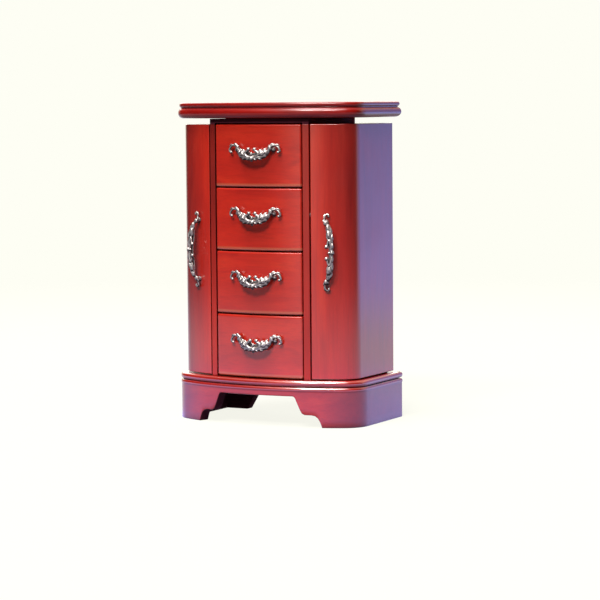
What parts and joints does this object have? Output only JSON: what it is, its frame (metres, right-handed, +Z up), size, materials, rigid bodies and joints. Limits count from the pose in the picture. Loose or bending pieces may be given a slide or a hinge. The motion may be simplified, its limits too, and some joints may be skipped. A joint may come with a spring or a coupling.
{
  "type": "jewelry armoire",
  "caption": "Tabletop jewelry armoire: bow-fronted column of drawers under a mirrored lift lid, between swing-out wing doors with necklace hooks, on a bracket base.",
  "frame": {"origin": "centre of the overall footprint box, on the surface the feet stand on", "axes": "+Z up, front towards -Y, +X to the right when facing the rear"},
  "size_m": [0.262, 0.1558, 0.4],
  "materials": {
    "cherry_lacquer": "red-cherry stain under glossy lacquer",
    "drawer_wood": "thin clear sealer on pale hardwood",
    "antique_pewter": "cast pull with antiqued silver plate, dark in the recesses",
    "brass": "bright plated brass",
    "catch_steel": "nickel-plated steel",
    "mirror": "silvered float glass",
    "velvet": "burgundy velvet"
  },
  "bodies": {
    "carcass": {"back_panel": "cherry_lacquer", "base_back": "cherry_lacquer", "base_front": "cherry_lacquer", "base_side_left": "cherry_lacquer", "base_side_right": "cherry_lacquer", "base_top": "cherry_lacquer", "column_side_left": "cherry_lacquer", "column_side_right": "cherry_lacquer", "door_left_hinge_lower_fixed": "brass", "door_left_hinge_upper_fixed": "brass", "door_right_hinge_lower_fixed": "brass", "door_right_hinge_upper_fixed": "brass", "drawer_shelf_1": "drawer_wood", "drawer_shelf_2": "drawer_wood", "drawer_shelf_3": "drawer_wood", "drawer_shelf_4": "drawer_wood", "lid_hinge_left_fixed": "brass", "lid_hinge_right_fixed": "brass", "ring_cushion": "velvet", "strike_left": "catch_steel", "strike_right": "catch_steel", "tray_divider": "drawer_wood", "tray_floor": "drawer_wood", "tray_front_rail": "cherry_lacquer"},
    "lid": {"lid_board": "cherry_lacquer", "lid_hinge_left_leaf": "brass", "lid_hinge_right_leaf": "brass", "lid_mirror": "mirror"},
    "door_left": {"door_left_floor": "cherry_lacquer", "door_left_hinge_lower_leaf": "brass", "door_left_hinge_upper_leaf": "brass", "door_left_hooks": "brass", "door_left_magnet": "catch_steel", "door_left_pouch": "velvet", "door_left_pull": "antique_pewter", "door_left_shell": "cherry_lacquer", "door_left_top": "cherry_lacquer"},
    "door_right": {"door_right_floor": "cherry_lacquer", "door_right_hinge_lower_leaf": "brass", "door_right_hinge_upper_leaf": "brass", "door_right_hooks": "brass", "door_right_magnet": "catch_steel", "door_right_pouch": "velvet", "door_right_pull": "antique_pewter", "door_right_shell": "cherry_lacquer", "door_right_top": "cherry_lacquer"},
    "drawer_1": {"drawer_1_box": "drawer_wood", "drawer_1_front": "cherry_lacquer", "drawer_1_pull": "antique_pewter"},
    "drawer_2": {"drawer_2_box": "drawer_wood", "drawer_2_front": "cherry_lacquer", "drawer_2_pull": "antique_pewter"},
    "drawer_3": {"drawer_3_box": "drawer_wood", "drawer_3_front": "cherry_lacquer", "drawer_3_pull": "antique_pewter"},
    "drawer_4": {"drawer_4_box": "drawer_wood", "drawer_4_front": "cherry_lacquer", "drawer_4_pull": "antique_pewter"}
  },
  "joints": [
    {"name": "lid_hinge", "type": "hinge", "parent": "carcass", "child": "lid", "pos_m": [0, 0.07311, 0.38025], "axis": [-1, 0, 0], "range_deg": [0, 95]},
    {"name": "door_left_hinge", "type": "hinge", "parent": "carcass", "child": "door_left", "pos_m": [-0.11375, 0.07311, 0.21613], "axis": [0, 0, -1], "range_deg": [0, 105]},
    {"name": "door_right_hinge", "type": "hinge", "parent": "carcass", "child": "door_right", "pos_m": [0.11375, 0.07311, 0.21613], "axis": [0, 0, 1], "range_deg": [0, 105]},
    {"name": "drawer_1_slide", "type": "slide", "parent": "carcass", "child": "drawer_1", "axis": [0, -1, 0], "range_m": [0, 0.085]},
    {"name": "drawer_2_slide", "type": "slide", "parent": "carcass", "child": "drawer_2", "axis": [0, -1, 0], "range_m": [0, 0.085]},
    {"name": "drawer_3_slide", "type": "slide", "parent": "carcass", "child": "drawer_3", "axis": [0, -1, 0], "range_m": [0, 0.085]},
    {"name": "drawer_4_slide", "type": "slide", "parent": "carcass", "child": "drawer_4", "axis": [0, -1, 0], "range_m": [0, 0.085]}
  ]
}
